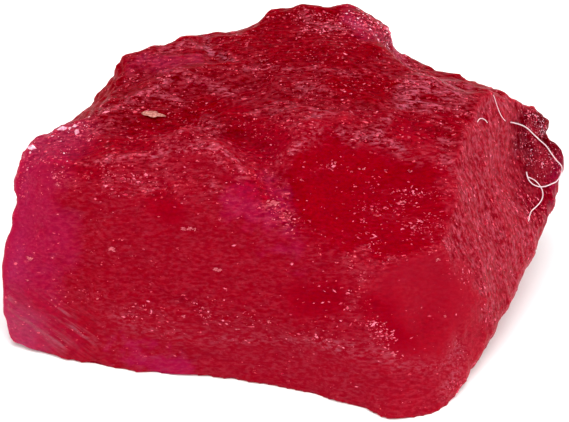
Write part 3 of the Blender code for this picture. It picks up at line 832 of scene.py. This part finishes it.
# Single bright flecks, small crystals whose pale colour is partly a painted highlight: pixel of the photo,
# length and width.
SPARKLE_FLECKS = (
    ((188, 229), 0.75, 0.16), ((112, 249), 0.34, 0.22), ((219, 269), 0.4, 0.2), ((29, 258), 0.2, 0.2),
    ((272, 203), 0.36, 0.3), ((58, 184), 0.24, 0.14), ((98, 299), 0.16, 0.1), ((145, 306), 0.18, 0.1),
    ((184, 317), 0.2, 0.12), ((203, 308), 0.16, 0.1), ((237, 329), 0.22, 0.1), ((270, 322), 0.18, 0.12),
    ((27, 280), 0.12, 0.1), ((159, 217), 0.12, 0.08), ((92, 252), 0.2, 0.05), ((133, 256), 0.3, 0.06),
    ((263, 60), 0.24, 0.12), ((163, 80), 0.14, 0.12), ((202, 67), 0.14, 0.08), ((108, 175), 0.22, 0.12),
    ((244, 116), 0.13, 0.1), ((361, 169), 0.32, 0.1), ((352, 172), 0.14, 0.08), ((410, 171), 0.16, 0.1),
    ((403, 203), 0.26, 0.16), ((393, 192), 0.2, 0.08), ((415, 195), 0.16, 0.08), ((437, 196), 0.16, 0.08),
    ((377, 211), 0.22, 0.08), ((335, 163), 0.16, 0.1), ((302, 180), 0.16, 0.1), ((285, 214), 0.16, 0.12),
    ((438, 260), 0.2, 0.12), ((347, 256), 0.07, 0.05), ((350, 261), 0.08, 0.06), ((353, 266), 0.06, 0.05),
    ((361, 272), 0.06, 0.06), ((363, 279), 0.06, 0.05), ((385, 323), 0.2, 0.1), ((394, 355), 0.2, 0.12),
    ((445, 316), 0.12, 0.1),
)
# Blocky clear crystals at the left tip: pixel of the photo, size.
TIP_CRYSTALS = (((32, 148), 0.17), ((63, 128), 0.2), ((77, 132), 0.25), ((70, 128), 0.1), ((52, 136), 0.09),
                ((75, 126), 0.12))


def seen_at(pixel, tree):
    """Place of the stone that the camera sees at a pixel of the photo, in millimetres."""
    angle = math.radians(CAMERA_ELEVATION)
    back = Vector((0.0, -math.cos(angle), math.sin(angle)))
    up = Vector((0.0, math.sin(angle), math.cos(angle)))
    slope = SENSOR_WIDTH / CAMERA_LENS / PHOTO_WIDTH
    across = (pixel[0] - 0.5 * PHOTO_WIDTH) * slope
    down = (pixel[1] - 0.5 * PHOTO_HEIGHT) * slope
    aim = Vector((across, 0.0, 0.0)) - down * up - back
    eye = (Vector(CAMERA_TARGET) + back * CAMERA_DISTANCE) * MM
    return np.array(tree.ray_cast(eye, aim.normalized())[0]) / MM


def settle(point, tree):
    """Nearest place of the surface and its normal, in millimetres."""
    place, normal, _, _ = tree.find_nearest(Vector(point) * MM)
    return np.array(place) / MM, np.array(normal)


def broken_up(flecks, tree, seed):
    """Each fleck as a cluster of small crystals inside an oval of its length and width."""
    rng = np.random.default_rng(seed)
    points, lengths, widths = [], [], []
    for pixel, length, width in flecks:
        middle = seen_at(pixel, tree)
        for _ in range(3 + int(90.0 * length * width)):
            angle = rng.uniform(0.0, 2.0 * math.pi)
            out = 0.5 * math.sqrt(rng.random())
            rise = 0.7 * width * math.sin(angle)
            points.append(middle + out * np.array((length * math.cos(angle), rise, rise)))
            widths.append(width * rng.uniform(0.4, 0.7))
            lengths.append(widths[-1] * rng.uniform(1.0, 2.2))
    return points, lengths, widths


def placed_grains(name, points, tree, lengths, widths, sink, seed, wander):
    """Grains at given points, settled on the surface."""
    rng = np.random.default_rng(seed)
    seats = [settle(point, tree) for point in points]
    places = np.array([seat[0] for seat in seats])
    normals = np.array([seat[1] for seat in seats])
    axes = grain_axes(normals, rng, np.zeros(len(points)), wander)
    sizes = 0.5 * np.array(widths)
    shares = np.array(lengths) / np.array(widths)
    return make_grains(name, places, axes, rng, sizes, shares, sink)


def make_all_grains(stone, places, zones, tree):
    """Bright crystals: fine glitter, seams, single flecks and the clusters at the corners."""
    grain = grain_material()
    clear = clear_material()
    above = smooth(0.15, 0.5, places[:, 2])
    uneven = smooth(-0.25, 0.35, blotches(places * np.array((0.5, 1.0, 1.0)), 0.8, 8.0))
    everywhere = 0.5 * zones["top"] + 0.5 * zones["end"] + 0.4 * zones["back"] + 0.6 * zones["recess"]
    everywhere += 0.08 * zones["front"] + 0.12 * zones["bowl"] + 0.6 * np.clip(zones["line_haze"], 0, 1)
    everywhere *= uneven ** 2 * above
    obj = scattered_grains("fine_glitter", stone, places, everywhere, 5200, 11, 0.014, 0.05, 2.0, 0.25)
    finish_piece(obj, grain)
    clumps = np.maximum(uneven, 0.6 * zones["crown"])
    seams = np.clip(zones["glitter"], 0.0, 3.0) * (clumps + 0.1) ** 2 * above + 0.003 * above
    obj = scattered_grains("seam_crystals", stone, places, seams, 1600, 12, 0.02, 0.075, 1.8, 0.4)
    finish_piece(obj, grain)
    clusters = (zones["crown"] + 0.5 * zones["tip"]) * above
    obj = scattered_grains("corner_crystals", stone, places, clusters, 260, 13, 0.02, 0.075, 1.3, 0.6)
    finish_piece(obj, clear)
    wing = zones["wing"] * above * (0.25 + zones["glitter"])
    obj = scattered_grains("wing_crystals", stone, places, wing, 340, 16, 0.016, 0.045, 1.2, 0.8)
    finish_piece(obj, clear)
    points, lengths, widths = broken_up(SPARKLE_FLECKS, tree, 17)
    obj = placed_grains("flecks", points, tree, lengths, widths, 0.1, 14, 0.4)
    finish_piece(obj, fleck_material())
    pixels, sizes = zip(*TIP_CRYSTALS)
    points = [seen_at(pixel, tree) for pixel in pixels]
    widths = [2.0 * size for size in sizes]
    obj = placed_grains("tip_crystals", points, tree, widths, widths, 0.2, 15, 0.5)
    finish_piece(obj, clear)


# ---------------------------------------------------------------- dirt


# Lint fibres: thickness, and the pixels of the photo that each passes from end to end.
FIBRES = (
    (0.03, ((493, 95), (495, 100), (497, 107), (499, 113), (502, 118), (505, 121))),
    (0.05, ((510, 122), (518, 124), (526, 127), (532, 133), (538, 139), (545, 145), (549, 151), (554, 158),
            (559, 164), (562, 169), (560, 175), (557, 180), (551, 184), (544, 187), (537, 187), (531, 184),
            (527, 179), (526, 172))),
    (0.045, ((527, 177), (533, 179), (538, 184), (542, 190), (543, 196), (541, 201), (536, 207), (531, 211),
             (529, 216), (528, 221))),
    (0.035, ((477, 122), (478, 119), (481, 118), (484, 119), (486, 121), (487, 123))),
)
FLAKE_MIDDLE = (-5.6, 1.15, 8.9)
FLAKE_SIZE = (1.05, 0.42, 0.05)


def curve_through(points, step):
    """Points spaced evenly along a smooth curve through the given ones."""
    points = np.array(points)
    padded = np.vstack((2 * points[0] - points[1], points, 2 * points[-1] - points[-2]))
    out = []
    for a, b, c, d in zip(padded, padded[1:], padded[2:], padded[3:]):
        pieces = max(2, int(np.linalg.norm(c - b) / step))
        for t in np.arange(pieces) / pieces:
            out.append(0.5 * (2 * b + (c - a) * t + (2 * a - 5 * b + 4 * c - d) * t * t
                              + (3 * b - a - 3 * c + d) * t ** 3))
    out.append(points[-1])
    return np.array(out)


def lay_on_stone(route, tree, lift):
    """Route settled on the surface: it bridges the small hollows and nowhere goes into the stone."""
    route = route.copy()
    for _ in range(6):
        for index, point in enumerate(route):
            place, normal, _, _ = tree.find_nearest(Vector(point) * MM)
            above = (Vector(point) * MM - place).dot(normal)
            if above < lift * MM or above > 3.0 * lift * MM:
                route[index] = (place + normal * lift * MM) / MM
        route[1:-1] = 0.25 * route[:-2] + 0.5 * route[1:-1] + 0.25 * route[2:]
    return route


def make_fibres(tree):
    """The lint: thin tubes that lie on the stone."""
    curve = bpy.data.curves.new("lint_fibres", "CURVE")
    curve.dimensions = "3D"
    curve.bevel_depth = 0.5 * MM
    curve.bevel_resolution = 2
    curve.use_fill_caps = True
    for thickness, pixels in FIBRES:
        route = curve_through([seen_at(pixel, tree) for pixel in pixels], 0.08)
        route = keep_in_box(lay_on_stone(route, tree, 0.6 * thickness))
        spline = curve.splines.new("POLY")
        spline.points.add(len(route) - 1)
        for target, point in zip(spline.points, route):
            target.co = (*(point * MM), 1.0)
            target.radius = thickness
    holder = bpy.data.objects.new("lint_holder", curve)
    bpy.context.scene.collection.objects.link(holder)
    graph = bpy.context.evaluated_depsgraph_get()
    graph.update()
    mesh = bpy.data.meshes.new_from_object(holder.evaluated_get(graph))
    bpy.data.objects.remove(holder)
    fibres = bpy.data.objects.new("lint_fibres", mesh)
    bpy.context.scene.collection.objects.link(fibres)
    mesh.shade_smooth()
    finish_piece(fibres, lint_material())


def make_flake(tree):
    """Thin curled flake that lies across a hollow of the top."""
    bpy.ops.mesh.primitive_grid_add(x_subdivisions=18, y_subdivisions=8, size=1.0)
    flake = bpy.context.object
    flake.name = "tan_flake"
    place, normal, _, _ = tree.find_nearest(Vector(FLAKE_MIDDLE) * MM)
    for vert in flake.data.vertices:
        u, v = vert.co.x * 2.0, vert.co.y * 2.0
        width = (1.0 - abs(u) ** 2.2) ** 0.6 * (0.75 + 0.35 * noise.noise(Vector((u * 2.5, 1.7, 0.0))))
        if u > 0.25:
            width *= 0.65
        x = 0.5 * FLAKE_SIZE[0] * u
        y = 0.5 * FLAKE_SIZE[1] * v * width
        z = -0.05 * u * u - 0.04 * v * v + 0.03 * noise.noise(Vector((u * 4.0, v * 3.0, 2.0)))
        vert.co = Vector((x, y, z + 0.12)) * MM
    thickness = flake.modifiers.new("thickness", "SOLIDIFY")
    thickness.thickness = FLAKE_SIZE[2] * MM
    flake.rotation_euler = (math.radians(14.0), math.radians(5.0), math.radians(-6.0))
    flake.location = place
    finish_piece(flake, flake_material())


# ---------------------------------------------------------------- stage


def make_floor():
    bpy.ops.mesh.primitive_plane_add(size=3.0, location=(0.0, 0.0, 0.0))
    floor = bpy.context.object
    floor.name = "floor"
    floor.data.materials.append(floor_material())


def add_area_light(name, place, size, power, colour=(1.0, 1.0, 1.0)):
    """Square softbox that points at the stone; place and size in millimetres."""
    light = bpy.data.lights.new(name, "AREA")
    light.size = size * MM
    light.energy = power
    light.color = colour
    lamp = bpy.data.objects.new(name, light)
    lamp.location = Vector(place) * MM
    aim = Vector((0.0, 0.0, 5.0)) * MM - lamp.location
    lamp.rotation_euler = aim.to_track_quat("-Z", "Y").to_euler()
    bpy.context.scene.collection.objects.link(lamp)


def make_world():
    """Pale surroundings, bright near the horizon and dim overhead."""
    world = bpy.data.worlds.new("studio")
    bpy.context.scene.world = world
    world.use_nodes = True
    tree = world.node_tree
    background = tree.nodes["Background"]
    direction = tree.nodes.new("ShaderNodeTexCoord").outputs["Generated"]
    split = tree.nodes.new("ShaderNodeSeparateXYZ")
    feed(tree, split.inputs[0], direction)
    strength = map_range(tree, split.outputs["Z"], 0.05, 0.6, 1.0, 0.75)
    feed(tree, background.inputs["Strength"], strength)
    background.inputs["Color"].default_value = (1.0, 1.0, 1.0, 1.0)


def make_lights():
    add_area_light("overhead", (0.0, -60.0, 260.0), 220.0, 0.6)
    add_area_light("left_fill", (-240.0, -160.0, 130.0), 180.0, 0.3)
    add_area_light("right_fill", (260.0, -60.0, 130.0), 180.0, 0.4)


def make_camera():
    camera = bpy.data.cameras.new("camera")
    camera.lens = CAMERA_LENS
    camera.sensor_width = SENSOR_WIDTH
    camera.clip_start = 0.01
    camera.clip_end = 10.0
    eye = bpy.data.objects.new("camera", camera)
    angle = math.radians(CAMERA_ELEVATION)
    back = Vector((0.0, -math.cos(angle), math.sin(angle)))
    eye.location = (Vector(CAMERA_TARGET) + back * CAMERA_DISTANCE) * MM
    eye.rotation_euler = (math.radians(90.0 - CAMERA_ELEVATION), 0.0, 0.0)
    bpy.context.scene.collection.objects.link(eye)
    bpy.context.scene.camera = eye


def set_film():
    """Plain film with its blacks pulled down, as in a bright product shot."""
    view = bpy.context.scene.view_settings
    view.view_transform = "Standard"
    view.use_curve_mapping = True
    view.curve_mapping.black_level = (0.006, 0.006, 0.006)
    view.curve_mapping.update()


def main():
    stone, places, zones = make_stone()
    finish_piece(stone, ruby_material(), (NODE,))
    tree = BVHTree.FromObject(stone, bpy.context.evaluated_depsgraph_get())
    make_all_grains(stone, places, zones, tree)
    make_fibres(tree)
    make_flake(tree)
    make_floor()
    make_world()
    make_lights()
    make_camera()
    set_film()


main()
